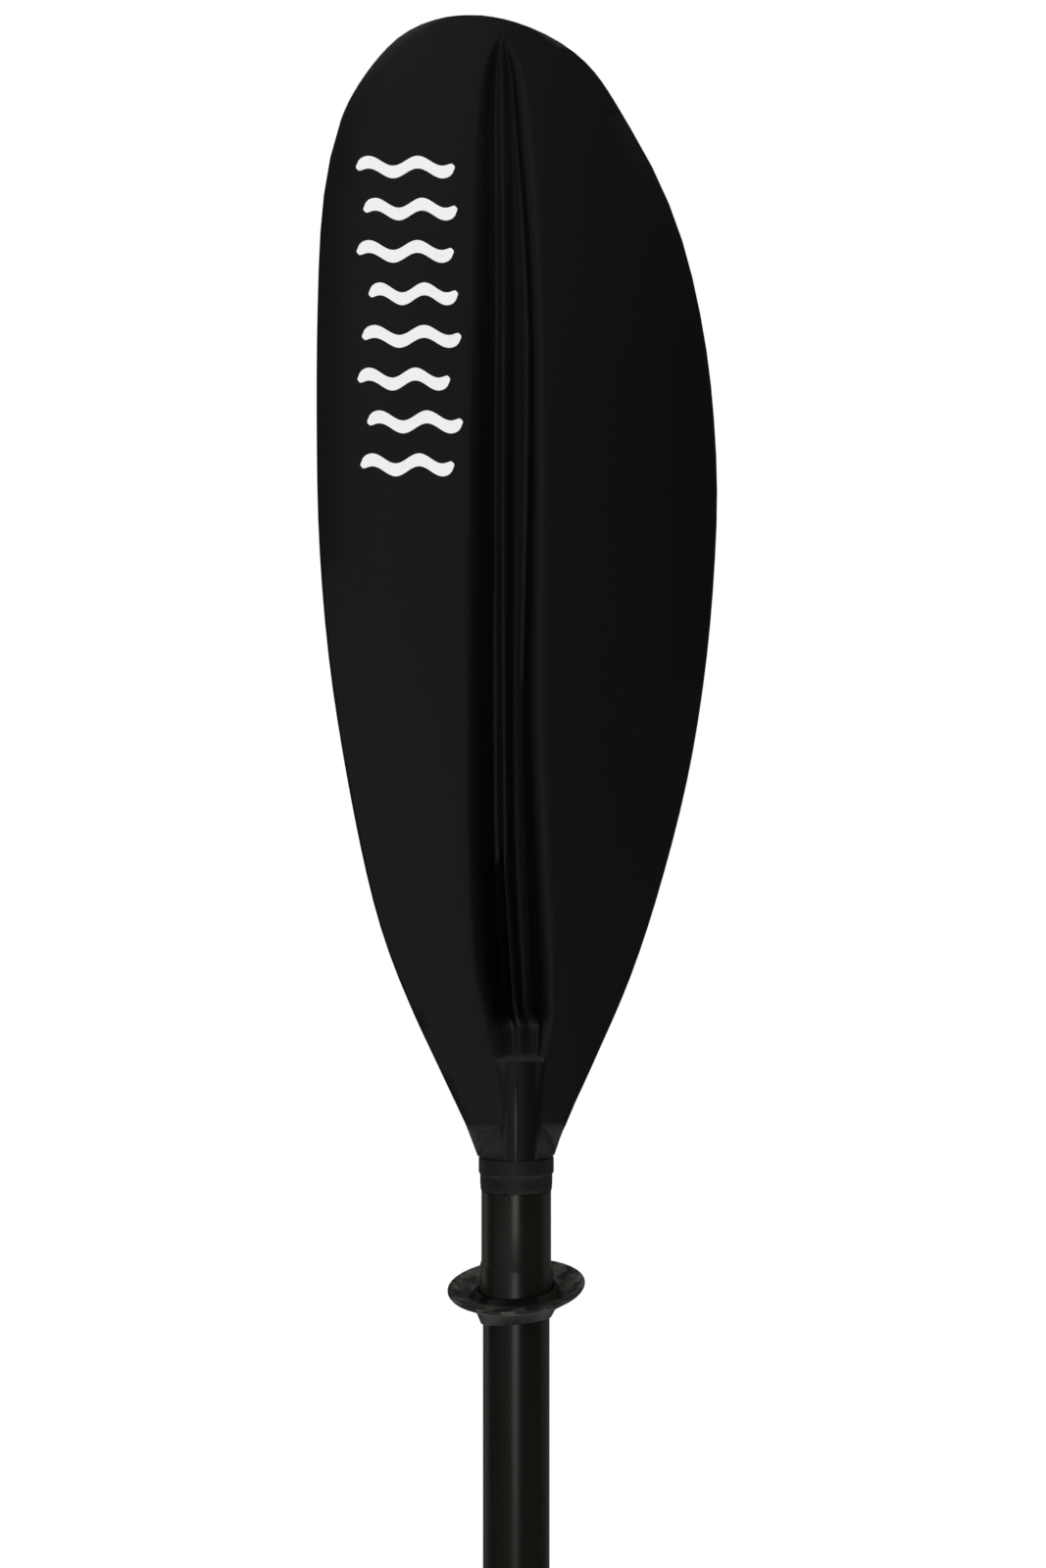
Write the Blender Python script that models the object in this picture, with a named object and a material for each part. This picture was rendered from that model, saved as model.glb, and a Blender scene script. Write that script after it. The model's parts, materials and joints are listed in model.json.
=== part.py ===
"""One-bladed half of a two-piece kayak paddle.

Frame: +Z runs up the shaft to the blade tip, the origin is the middle of the flat
outer face of the end cap on the plug-in insert, and the back (convex) face of the
blade looks along -Y.  Metres throughout.
"""
import math

import bmesh
import bpy
from mathutils import Vector

# ---- Driving dimensions -----------------------------------------------------
FIT = 0.0003                  # clearance between pieces that touch
SEAM_TO_TIP = 1.100           # half of a 2.2 m paddle

SHAFT_RADIUS = 0.0143         # 28.6 mm aluminium tube
SHAFT_WALL = 0.00125

INSERT_REACH = 0.090          # plug-in end, from cap face to seam
INSERT_GRIP = 0.060           # its length inside the shaft
INSERT_WALL = 0.0020
CAP_FLANGE = 0.0030
CAP_STEM = 0.010
CAP_STEM_WALL = 0.0015
CAP_CHAMFER = 0.0008
SEAM_RING_HEIGHT = 0.0040
SEAM_RING_LIP = 0.0006        # how far the ring stands proud of the shaft

RIVET_HEIGHT = 0.035          # ferrule rivets, above the seam
RIVET_SHANK = 0.0016
RIVET_HEAD = 0.0034
RIVET_DOME = 0.0010
RIVET_TAIL = 0.0026
RIVET_TAIL_THICKNESS = 0.0010
RIVET_END = 0.0012            # shank left showing past the tail

BUTTON_HEIGHT = 0.050         # button axis, above the cap face
BUTTON_RADIUS = 0.0039
BUTTON_PROUD = 0.0042         # how far it stands out of the insert
BUTTON_TRAVEL = 0.0040
BUTTON_FLANGE = 0.0052
BUTTON_FLANGE_THICKNESS = 0.0012
SPRING_WIDTH = 0.0070
SPRING_THICKNESS = 0.0006
SPRING_BEND = 0.0030          # radius of the bend of the V
SPRING_DROP = 0.031           # from the button axis down to the bend
SPRING_OVERRUN = 0.0050       # legs past the button axis

FOAM_LENGTH = 0.040
PLUG_LENGTH = 0.030
PLUG_GROOVE = 0.0010

BLADE_LENGTH = 0.4965         # top of the neck band to the tip
BLADE_WIDTH = 0.1766
BLADE_SPINE_THICKNESS = 0.0040
BLADE_EDGE_THICKNESS = 0.0024
EDGE_ROUND = 0.0009           # how far the edge is drawn to a nose
SOCKET_WALL = 0.0013
SOCKET_END_WALL = 0.0020
SOCKET_TOP = 0.0415           # top of the socket, above the band
SOCKET_LIP_WALL = 0.0007      # thin skirt of the socket under the band
SOCKET_LIP_LENGTH = 0.0068
FOLD_HEIGHT = 0.0155          # where the webs fold down to the socket
RAMP_LENGTH = 0.019           # slope from the socket into the hollow
RAMP_EASE = 1.5               # power that rounds the ramp into the hollow's floor
RIDGE_PROUD = 0.0012          # rear ridge past the socket
RIDGE_AT_SOCKET = 0.88        # half width of the ridge at the neck, of the socket radius
HOLLOW_FLOOR_WALL = 0.0030
HOLLOW_SIDE_WALL = 0.0033
RIB_TOP_HALF = 0.0011
RIB_LEFT_FOOT = 0.0019        # from the rib's middle line to the foot of its flank
RIB_RIGHT_FOOT = 0.0038
RIB_ROOM = 0.024              # in a hollow narrower than this, the rib narrows with it
RIB_RISE = 0.5                # rib height, in depths of the hollow
CAMBER_SLOPE = 0.060          # how the face falls away from the spine
CAMBER_CURVE = 0.90
CREST_ROUND = 0.006

BAND_LENGTH = 0.0144
BAND_WALL = 0.0005
BAND_SKIRT_WALL = 0.0009
BAND_EDGE = 0.0005            # the rubber thins by this towards its lower edge
BAND_ROUND = 0.0003

SLEEVE_WALL = 0.00035
CUFF_WALL = 0.00115
CUFF_LENGTH = 0.0160          # belled end of the sleeve, inside the drip ring
CUFF_SHOULDER = 0.0030

DRIP_RING_DROP = 0.0551       # rim plane, below the top of the band
DRIP_RIM_RADIUS = 0.0295
DRIP_RIM_ROUND = 0.0007
DRIP_LIP_WALL = 0.0022
DRIP_LIP_DROP = 0.0010        # crest of the inner lip, below the rim plane
DRIP_CUP_DEPTH = 0.0050
DRIP_SKIN = 0.0018
DRIP_FLARE = 1.0              # how the underside hollows towards the hub
DRIP_HUB_TOP = 0.0112         # these two are measured down from the rim plane
DRIP_HUB_END = 0.0150
DRIP_HUB_WALL = 0.0024
DRIP_HUB_EDGE = 0.0006        # wall at the hub's end
DRIP_CUFF_SEAT = 0.0060       # the cuff stands this deep in the ring
DRIP_LEAN_RIM = 0.205         # the soft cup sits askew: rise per unit across
DRIP_LEAN_LIP = 0.133
DRIP_LEAN_HUB = -0.060
DRIP_LEAN_SIDE = 0.090

THROAT_RIVET_DROP = 0.0164
THROAT_RIVET_TURN = math.radians(26)
THROAT_RIVET_SHANK = 0.0009
THROAT_RIVET_HEAD = 0.0017
THROAT_RIVET_DOME = 0.0006
THROAT_RIVET_DEPTH = 0.0045   # its length inside the plug

ROUND_STEPS = 40
SMALL_STEPS = 32
WING_STEPS = 6
WING_SPREAD = 1.6             # places stand closer together near the hollow
RAMP_ROWS = 5
LEVEL_ROWS = 28
ROW_SPREAD = 1.2              # rows stand closer together near the ramp
END_ROWS = 9                  # round the blunt end of the hollow
TIP_ROWS = 8

# ---- Sizes that follow ------------------------------------------------------
SEAM = INSERT_REACH
TIP = SEAM + SEAM_TO_TIP
NECK = TIP - BLADE_LENGTH                       # top of the neck band
TUBE_FOOT = SEAM + SEAM_RING_HEIGHT + FIT
TUBE_INNER = SHAFT_RADIUS - SHAFT_WALL
INSERT_OUTER = TUBE_INNER - FIT
INSERT_INNER = INSERT_OUTER - INSERT_WALL
SOCKET_BORE = SHAFT_RADIUS + FIT
SOCKET_RADIUS = SOCKET_BORE + SOCKET_WALL
SOCKET_LIP_RADIUS = SOCKET_BORE + SOCKET_LIP_WALL
TUBE_HEAD = NECK + SOCKET_TOP - SOCKET_END_WALL - FIT
RAMP_FOOT = SOCKET_TOP + RAMP_LENGTH
HOLLOW_END_START = BLADE_LENGTH * 0.905
FAN_START = BLADE_LENGTH * 0.979         # above this the rows fan round the tip
BAND_TOP = NECK - FIT
BAND_STEP = NECK - SOCKET_LIP_LENGTH - FIT
BAND_FOOT = NECK - BAND_LENGTH
SLEEVE_RADIUS = SOCKET_BORE + SLEEVE_WALL
CUFF_RADIUS = SOCKET_BORE + CUFF_WALL
DRIP_RIM = NECK - DRIP_RING_DROP
CUFF_FOOT = DRIP_RIM - DRIP_CUFF_SEAT + FIT
THROAT_RIVET_Z = NECK - THROAT_RIVET_DROP
PLUG_MIDDLE = THROAT_RIVET_Z

# ---- The blade's own curves -------------------------------------------------
# Outline, left edge up to the tip and down the right edge: share of the blade's
# length above the band, share of its width right of the shaft axis.
OUTLINE = [
    (0.028, -0.128), (0.078, -0.193), (0.128, -0.257), (0.178, -0.312), (0.229, -0.353),
    (0.330, -0.409), (0.431, -0.450), (0.535, -0.472), (0.637, -0.476), (0.741, -0.472),
    (0.819, -0.461), (0.873, -0.438), (0.926, -0.387), (0.979, -0.272), (0.9965, -0.176),
    (1.000, -0.084),
    (0.9965, 0.004), (0.982, 0.119), (0.958, 0.211), (0.906, 0.310), (0.855, 0.389),
    (0.802, 0.446), (0.749, 0.482), (0.697, 0.506), (0.644, 0.519), (0.592, 0.524),
    (0.539, 0.519), (0.434, 0.490), (0.330, 0.437), (0.228, 0.355), (0.152, 0.276),
    (0.077, 0.176), (0.027, 0.110),
]
TIP_KNOT = OUTLINE.index(max(OUTLINE)) + 1
NECK_SPREAD = 1.04            # of the socket radius, where the outline starts

# Height of the back face over the shaft axis along the spine, from the ramp's
# foot to the tip, after the fold: share of that length, metres.
SPINE_START = -0.0020
SPINE_FOLD = -0.0142
SPINE_SOCKET = -0.0124
SPINE = [(0.0, -0.0106), (0.18, -0.0030), (0.52, 0.0080), (0.765, 0.0170),
         (0.92, 0.0240), (1.0, 0.0282)]

# The hollow, from the ramp's foot to the tip: share of that length, left lip, right
# lip, share of its full depth, share of its right side that the wall takes.
HOLLOW = [
    (0.000, -0.0145, 0.0138, 1.00, 0.46), (0.060, -0.0192, 0.0135, 0.93, 0.46),
    (0.170, -0.0210, 0.0125, 0.75, 0.50), (0.300, -0.0207, 0.0114, 0.60, 0.54),
    (0.450, -0.0201, 0.0128, 0.47, 0.47), (0.600, -0.0190, 0.0141, 0.35, 0.44),
    (0.700, -0.0175, 0.0141, 0.28, 0.46), (0.800, -0.0163, 0.0134, 0.22, 0.60),
    (0.865, -0.0152, 0.0118, 0.18, 0.74), (0.915, -0.0130, 0.0094, 0.15, 0.80),
    (0.940, -0.0112, 0.0076, 0.12, 0.80), (0.957, -0.0090, 0.0050, 0.08, 0.80),
    (0.967, -0.0070, 0.0020, 0.03, 0.80), (0.974, -0.0056, -0.0004, 0.00, 0.80),
    (0.990, -0.0110, 0.0060, 0.00, 0.80), (1.000, -0.0110, 0.0060, 0.00, 0.80),
]
HOLLOW_SOCKET_HALF = 0.0104   # half width where the ramp meets the socket
# Sideways place of the rib's middle line, along the same length.
RIB_LINE = [(0.0, 0.0002), (0.06, -0.0013), (0.115, -0.0027), (0.17, -0.0037), (0.29, -0.0040),
            (0.46, -0.0039), (0.58, -0.0035), (0.75, -0.0028), (1.0, -0.0029)]
# A wall of the hollow, from its lip to its foot: share of its width, of the depth.
LEFT_WALL = [(0.0, 0.0), (0.07, 0.012), (0.28, 0.10), (0.42, 0.34), (0.62, 0.70), (0.84, 0.94)]
RIGHT_WALL = [(0.0, 0.0), (0.10, 0.010), (0.72, 0.11), (0.82, 0.45), (0.93, 0.93)]
FLOOR_CROWN = 0.02            # of the depth, on the right of the rib
RIDGE_ROUNDNESS = 2.5
SPINE_ROOM = 1.6              # the spine narrows where the plate is under this many times it
SPINE_LEAST = 0.2


def between(value, low, high):
    """Smooth 0..1 step of value from low to high."""
    share = min(max((value - low) / (high - low), 0.0), 1.0)
    return share * share * (3.0 - 2.0 * share)


def along(knots, where, column=1):
    """Value at where of the smooth curve through knots (place, value, ...)."""
    if where <= knots[0][0]:
        return knots[0][column]
    if where >= knots[-1][0]:
        return knots[-1][column]
    last = len(knots) - 1
    index = max(i for i in range(last) if knots[i][0] <= where)

    def slope(i):
        low, high = knots[max(i - 1, 0)], knots[min(i + 1, last)]
        return (high[column] - low[column]) / (high[0] - low[0])

    start, end = knots[index], knots[index + 1]
    span = end[0] - start[0]
    t = (where - start[0]) / span
    return ((2 * t**3 - 3 * t**2 + 1) * start[column]
            + (t**3 - 2 * t**2 + t) * span * slope(index)
            + (3 * t**2 - 2 * t**3) * end[column]
            + (t**3 - t**2) * span * slope(index + 1))


def curve_through(points, steps):
    """Polyline of the centripetal Catmull-Rom curve through flat points."""
    padded = [2 * points[0] - points[1]] + points + [2 * points[-1] - points[-2]]
    line = []
    for a, b, c, d in zip(padded, padded[1:], padded[2:], padded[3:]):
        t0 = 0.0
        t1 = t0 + math.sqrt((b - a).length)
        t2 = t1 + math.sqrt((c - b).length)
        t3 = t2 + math.sqrt((d - c).length)
        for step in range(steps):
            t = t1 + (t2 - t1) * step / steps
            ab = a.lerp(b, (t - t0) / (t1 - t0))
            bc = b.lerp(c, (t - t1) / (t2 - t1))
            cd = c.lerp(d, (t - t2) / (t3 - t2))
            abc = ab.lerp(bc, (t - t0) / (t2 - t0))
            bcd = bc.lerp(cd, (t - t1) / (t3 - t1))
            line.append(abc.lerp(bcd, (t - t1) / (t2 - t1)))
    line.append(points[-1])
    return line


def point_at_height(line, height):
    """Point of a rising polyline (x, z) at a height."""
    for low, high in zip(line, line[1:]):
        if low.y <= height <= high.y and high.y > low.y:
            return low.lerp(high, (height - low.y) / (high.y - low.y))
    return line[-1]


def point_at_share(line, share):
    """Point of a polyline at a share of its length."""
    lengths = [(b - a).length for a, b in zip(line, line[1:])]
    left = share * sum(lengths)
    for start, end, length in zip(line, line[1:], lengths):
        if left <= length and length > 0:
            return start.lerp(end, left / length)
        left -= length
    return line[-1].copy()


# ---- Scene, materials and mesh helpers --------------------------------------
for old in list(bpy.data.objects):
    bpy.data.objects.remove(old, do_unlink=True)


def finish(name, colour, roughness, metallic=0.0):
    material = bpy.data.materials.new(name)
    material.use_nodes = True
    shader = material.node_tree.nodes["Principled BSDF"]
    shader.inputs["Base Color"].default_value = (*colour, 1.0)
    shader.inputs["Roughness"].default_value = roughness
    shader.inputs["Metallic"].default_value = metallic
    return material


BLACK_PLASTIC = finish("black_plastic", (0.011, 0.012, 0.010), 0.42)
BLACK_TUBE = finish("black_anodised_tube", (0.013, 0.013, 0.012), 0.34, 0.2)
BLACK_SLEEVE = finish("black_sleeve", (0.012, 0.012, 0.012), 0.28)
BLACK_RUBBER = finish("black_rubber", (0.022, 0.023, 0.020), 0.65)
BAND_RUBBER = finish("band_rubber", (0.020, 0.021, 0.019), 0.60)
GREY_FOAM = finish("grey_foam", (0.10, 0.10, 0.10), 0.95)
PLUG_PLASTIC = finish("plug_plastic", (0.05, 0.05, 0.05), 0.50)
BRIGHT_ALUMINIUM = finish("bright_aluminium", (0.60, 0.61, 0.62), 0.32, 1.0)
STAINLESS = finish("stainless", (0.55, 0.55, 0.54), 0.25, 1.0)


def add_object(name, bm, material, sharp_angle=35):
    """Turn a bmesh into a smooth-shaded object with sharp edges kept."""
    bmesh.ops.recalc_face_normals(bm, faces=bm.faces)
    mesh = bpy.data.meshes.new(name)
    bm.to_mesh(mesh)
    bm.free()
    mesh.materials.append(material)
    mesh.shade_smooth()
    mesh.set_sharp_from_angle(angle=math.radians(sharp_angle))
    piece = bpy.data.objects.new(name, mesh)
    bpy.context.collection.objects.link(piece)
    return piece


def turned(profile, steps=ROUND_STEPS, closed=True):
    """Spin a profile of (radius, height) points round the Z axis."""
    bm = bmesh.new()
    verts = [bm.verts.new((radius, 0.0, height)) for radius, height in profile]
    for start, end in zip(verts, verts[1:]):
        bm.edges.new((start, end))
    if closed:
        bm.edges.new((verts[-1], verts[0]))
    bmesh.ops.spin(bm, geom=bm.verts[:] + bm.edges[:], cent=(0, 0, 0), axis=(0, 0, 1),
                   angle=math.tau, steps=steps, use_merge=True, use_duplicate=False)
    bmesh.ops.remove_doubles(bm, verts=bm.verts, dist=1e-6)
    return bm


def cutter(name, radius, length, middle, direction, steps=24):
    """A hidden cylinder that Boolean modifiers cut holes with."""
    bm = bmesh.new()
    bmesh.ops.create_cone(bm, cap_ends=True, segments=steps, radius1=radius,
                          radius2=radius, depth=length)
    piece = add_object(name, bm, BLACK_PLASTIC)
    piece.rotation_euler = direction.to_track_quat("Z", "Y").to_euler()
    piece.location = middle
    piece.hide_render = True
    piece.display_type = "WIRE"
    return piece


def combine(piece, tool, operation):
    modifier = piece.modifiers.new(tool.name, "BOOLEAN")
    modifier.operation = operation
    modifier.object = tool
    modifier.solver = "EXACT"


# ---- Shaft, insert and their small parts ------------------------------------
def make_shaft_tube():
    piece = add_object("shaft_tube", turned([
        (TUBE_INNER, TUBE_FOOT), (SHAFT_RADIUS, TUBE_FOOT),
        (SHAFT_RADIUS, TUBE_HEAD), (TUBE_INNER, TUBE_HEAD)]), BLACK_TUBE)
    combine(piece, RIVET_HOLES, "DIFFERENCE")
    combine(piece, THROAT_RIVET_HOLE, "DIFFERENCE")
    return piece


def make_ferrule_insert():
    foot = CAP_FLANGE + FIT
    head = SEAM + INSERT_GRIP
    piece = add_object("ferrule_insert", turned([
        (INSERT_INNER, foot), (INSERT_OUTER, foot),
        (INSERT_OUTER, head), (INSERT_INNER, head)]), BRIGHT_ALUMINIUM)
    combine(piece, RIVET_HOLES, "DIFFERENCE")
    combine(piece, BUTTON_HOLE, "DIFFERENCE")
    return piece


def make_insert_end_cap():
    stem = INSERT_INNER - FIT
    top = CAP_FLANGE + CAP_STEM
    return add_object("insert_end_cap", turned([
        (0.0, 0.0), (INSERT_OUTER - CAP_CHAMFER, 0.0), (INSERT_OUTER, CAP_CHAMFER),
        (INSERT_OUTER, CAP_FLANGE), (stem, CAP_FLANGE), (stem, top - CAP_CHAMFER),
        (stem - CAP_CHAMFER, top), (stem - CAP_STEM_WALL, top),
        (stem - CAP_STEM_WALL, CAP_FLANGE), (0.0, CAP_FLANGE)], SMALL_STEPS, closed=False),
        PLUG_PLASTIC)


def make_seam_ring():
    outer = SHAFT_RADIUS + SEAM_RING_LIP
    head = SEAM + SEAM_RING_HEIGHT
    bore = INSERT_OUTER + FIT
    return add_object("seam_ring", turned([
        (bore, SEAM), (outer - SEAM_RING_LIP, SEAM), (outer, SEAM + SEAM_RING_LIP),
        (outer, head - SEAM_RING_LIP), (SHAFT_RADIUS, head), (bore, head)]),
        PLUG_PLASTIC)


def rivet_profile(seat, dome, head, shank, tail_face, tail, tail_thickness, end):
    """Half section of a blind rivet, heights measured out from the shaft axis."""
    arc = [(head * math.cos(a), seat + dome * math.sin(a))
           for a in (math.pi / 2 * i / 4 for i in range(5))]
    arc[-1] = (0.0, seat + dome)
    body = [(shank, seat)]
    if tail > shank:
        body += [(shank, tail_face), (tail, tail_face), (tail, tail_face - tail_thickness),
                 (shank, tail_face - tail_thickness)]
    return [(0.0, end), (shank, end)] + body[::-1] + arc


def make_ferrule_rivet(name, side):
    """One of the two blind rivets through the shaft and the insert."""
    tail_face = math.sqrt(INSERT_INNER**2 - RIVET_TAIL**2) - FIT
    end = tail_face - RIVET_TAIL_THICKNESS - RIVET_END
    profile = rivet_profile(SHAFT_RADIUS + FIT, RIVET_DOME, RIVET_HEAD, RIVET_SHANK,
                            tail_face, RIVET_TAIL, RIVET_TAIL_THICKNESS, end)
    piece = add_object(name, turned(profile, 16, closed=False), BRIGHT_ALUMINIUM)
    piece.rotation_euler = (0.0, side * math.pi / 2, 0.0)
    piece.location = (0.0, 0.0, SEAM + RIVET_HEIGHT)
    return piece


def make_throat_rivet():
    seat = SLEEVE_RADIUS + FIT
    end = INSERT_OUTER - THROAT_RIVET_DEPTH
    profile = rivet_profile(seat, THROAT_RIVET_DOME, THROAT_RIVET_HEAD,
                            THROAT_RIVET_SHANK, end, 0.0, 0.0, end)
    piece = add_object("throat_rivet", turned(profile, 16, closed=False), BLACK_TUBE)
    piece.rotation_euler = THROAT_RIVET_AXIS.to_track_quat("Z", "Y").to_euler()
    piece.location = (0.0, 0.0, THROAT_RIVET_Z)
    return piece


def make_throat_plug():
    """Moulded plug that closes the shaft under the blade."""
    low, high = PLUG_MIDDLE - PLUG_LENGTH / 2, PLUG_MIDDLE + PLUG_LENGTH / 2
    groove = INSERT_OUTER - PLUG_GROOVE
    sixth = PLUG_LENGTH / 6
    piece = add_object("throat_plug", turned([
        (0.0, low), (groove, low), (INSERT_OUTER, low + PLUG_GROOVE),
        (INSERT_OUTER, low + sixth), (groove, low + sixth + PLUG_GROOVE),
        (groove, low + 2 * sixth - PLUG_GROOVE), (INSERT_OUTER, low + 2 * sixth),
        (INSERT_OUTER, high - sixth), (groove, high), (0.0, high)], SMALL_STEPS, closed=False),
        PLUG_PLASTIC)
    combine(piece, THROAT_RIVET_HOLE, "DIFFERENCE")
    return piece


def make_float_plug():
    """Closed-cell foam that keeps water out of the shaft above the insert."""
    low = SEAM + INSERT_GRIP + FIT
    high = low + FOAM_LENGTH
    crown = FOAM_LENGTH / 10
    return add_object("float_plug", turned([
        (0.0, low), (INSERT_OUTER, low), (INSERT_OUTER, high - crown),
        (INSERT_OUTER - crown / 2, high), (0.0, high)], SMALL_STEPS, closed=False), GREY_FOAM)


# ---- Snap button and its V spring -------------------------------------------
BUTTON_SEAT = math.sqrt(INSERT_INNER**2 - BUTTON_FLANGE**2) - FIT
BUTTON_BACK = BUTTON_SEAT - BUTTON_FLANGE_THICKNESS


def make_snap_button():
    """Domed steel button, turned about an axis that looks along -Y."""
    crown = INSERT_OUTER + BUTTON_PROUD
    dome = BUTTON_PROUD / 2
    arc = [(BUTTON_RADIUS * math.cos(a), crown - dome + dome * math.sin(a))
           for a in (math.pi / 2 * i / 5 for i in range(5))]
    piece = add_object("snap_button", turned(
        [(0.0, BUTTON_BACK), (BUTTON_FLANGE, BUTTON_BACK), (BUTTON_FLANGE, BUTTON_SEAT),
         (BUTTON_RADIUS, BUTTON_SEAT)] + arc + [(0.0, crown)], 32, closed=False),
        STAINLESS)
    piece.rotation_euler = (math.pi / 2, 0.0, 0.0)
    piece.location = (0.0, 0.0, BUTTON_HEIGHT)
    return piece


def make_snap_spring():
    """Bent steel strip: one leg under the button, the other on the far wall."""
    half = SPRING_THICKNESS / 2
    front = -(BUTTON_BACK - FIT - half)
    back = math.sqrt(INSERT_INNER**2 - (SPRING_WIDTH / 2)**2) - FIT - half
    middle = (front + back) / 2
    top = BUTTON_HEIGHT + SPRING_OVERRUN
    bend = BUTTON_HEIGHT - SPRING_DROP
    path = [Vector((front, top)), Vector((front, BUTTON_HEIGHT - BUTTON_FLANGE))]
    for step in range(9):
        angle = math.pi + math.pi * step / 8
        path.append(Vector((middle + SPRING_BEND * math.cos(angle),
                            bend + SPRING_BEND * math.sin(angle))))
    path += [Vector((back, BUTTON_HEIGHT - BUTTON_FLANGE)), Vector((back, top))]
    inner, outer = [], []
    for index, point in enumerate(path):
        ahead = path[min(index + 1, len(path) - 1)] - path[max(index - 1, 0)]
        normal = Vector((-ahead.y, ahead.x)).normalized() * half
        inner.append(point + normal)
        outer.append(point - normal)
    bm = bmesh.new()
    side = [bm.verts.new((-SPRING_WIDTH / 2, y, z)) for y, z in inner + outer[::-1]]
    face = bm.faces.new(side)
    made = bmesh.ops.extrude_face_region(bm, geom=[face])
    moved = [item for item in made["geom"] if isinstance(item, bmesh.types.BMVert)]
    bmesh.ops.translate(bm, verts=moved, vec=(SPRING_WIDTH, 0.0, 0.0))
    return add_object("snap_spring", bm, STAINLESS)


# ---- Neck band, throat sleeve and drip ring ---------------------------------
def make_neck_band():
    """Rubber band in two steps, over the socket's skirt and down onto the shaft."""
    upper = SOCKET_LIP_RADIUS + FIT
    skirt = SOCKET_BORE + BAND_SKIRT_WALL
    return add_object("neck_band", turned([
        (SOCKET_BORE, BAND_FOOT), (skirt - BAND_EDGE, BAND_FOOT),
        (skirt - BAND_EDGE / 2, BAND_FOOT + BAND_ROUND), (skirt, (BAND_FOOT + BAND_STEP) / 2),
        (skirt, BAND_STEP - BAND_ROUND), (upper + BAND_WALL - BAND_ROUND, BAND_STEP),
        (upper + BAND_WALL, BAND_STEP + 2 * BAND_ROUND),
        (upper + BAND_WALL, BAND_TOP - BAND_ROUND), (upper + BAND_WALL - BAND_ROUND, BAND_TOP),
        (upper, BAND_TOP), (upper, BAND_STEP), (SOCKET_BORE, BAND_STEP)]), BAND_RUBBER)


def make_throat_sleeve():
    """Thin shrunk-on sleeve whose lower end is a thick cuff."""
    top = BAND_FOOT - FIT
    cuff_top = CUFF_FOOT + CUFF_LENGTH
    piece = add_object("throat_sleeve", turned([
        (SOCKET_BORE, CUFF_FOOT), (CUFF_RADIUS, CUFF_FOOT), (CUFF_RADIUS, cuff_top - CUFF_SHOULDER),
        ((CUFF_RADIUS + SLEEVE_RADIUS) / 2, cuff_top - CUFF_SHOULDER / 3),
        (SLEEVE_RADIUS, cuff_top), (SLEEVE_RADIUS, THROAT_RIVET_Z - THROAT_RIVET_HEAD),
        (SLEEVE_RADIUS, top), (SOCKET_BORE, top)]), BLACK_SLEEVE)
    combine(piece, THROAT_RIVET_HOLE, "DIFFERENCE")
    return piece


def make_drip_ring():
    """Soft rubber cup that slides on the shaft and catches the drips."""
    seat = CUFF_RADIUS + FIT
    lip = seat + DRIP_LIP_WALL
    rim = DRIP_RIM_RADIUS - DRIP_RIM_ROUND
    hub = SOCKET_BORE + DRIP_HUB_WALL
    half = DRIP_LIP_WALL / 2
    inner_lip = [(seat + half - half * math.cos(a), -DRIP_LIP_DROP - half + half * math.sin(a))
                 for a in (math.pi * i / 4 for i in range(5))]
    cup = [(lip + (rim - lip) * t, -DRIP_CUP_DEPTH * (1 - t * t)) for t in (0.1, 0.4, 0.7, 1.0)]
    below_rim = DRIP_HUB_TOP - DRIP_SKIN
    underside = [(rim - (rim - hub) * t, -DRIP_SKIN - below_rim * t**DRIP_FLARE)
                 for t in (0.0, 0.25, 0.5, 0.75, 1.0)]
    profile = ([(SOCKET_BORE, -DRIP_HUB_END), (SOCKET_BORE, -DRIP_CUFF_SEAT),
                (seat, -DRIP_CUFF_SEAT)] + inner_lip + cup
               + [(DRIP_RIM_RADIUS, -DRIP_RIM_ROUND / 2), (DRIP_RIM_RADIUS, -DRIP_SKIN / 2)]
               + underside + [(SOCKET_BORE + DRIP_HUB_EDGE, -DRIP_HUB_END)])
    bm = turned(profile)
    for vert in bm.verts:
        outward = between(math.hypot(vert.co.x, vert.co.y), seat, DRIP_RIM_RADIUS)
        seated = between(-vert.co.z, 0.0, DRIP_CUFF_SEAT) * (1 - outward)
        at_hub = between(-vert.co.z, DRIP_CUFF_SEAT, DRIP_HUB_END) * (1 - outward)
        back = (DRIP_LEAN_LIP + (DRIP_LEAN_RIM - DRIP_LEAN_LIP) * outward) * (1 - seated)
        back += DRIP_LEAN_HUB * at_hub
        side = DRIP_LEAN_SIDE * (1 - seated + at_hub)
        vert.co.z += back * vert.co.y + side * vert.co.x
    piece = add_object("drip_ring", bm, BLACK_RUBBER)
    piece.location.z = DRIP_RIM
    return piece


# ---- Blade ------------------------------------------------------------------
def share_above_ramp(z):
    return (z - RAMP_FOOT) / (BLADE_LENGTH - RAMP_FOOT)


def spine_height(z):
    """Y of the back face on the spine, z above the band."""
    if z >= RAMP_FOOT:
        return along(SPINE, share_above_ramp(z))
    near_neck = [(0.0, SPINE_START), (FOLD_HEIGHT * 0.92, SPINE_FOLD + 0.0006),
                 (FOLD_HEIGHT, SPINE_FOLD), (SOCKET_TOP, SPINE_SOCKET),
                 (RAMP_FOOT, SPINE[0][1])]
    for start, end in zip(near_neck, near_neck[1:]):
        if z <= end[0]:
            break
    return start[1] + (end[1] - start[1]) * max(z - start[0], 0.0) / (end[0] - start[0])


def camber(across):
    """How far the face falls back at a distance from the spine."""
    return (CAMBER_SLOPE * (math.hypot(across, CREST_ROUND) - CREST_ROUND)
            + CAMBER_CURVE * across * across)


def back_face(x, z):
    return spine_height(z) + camber(x)


FULL_DEPTH = SOCKET_RADIUS + RIDGE_PROUD - HOLLOW_FLOOR_WALL - SPINE[0][1]


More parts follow.
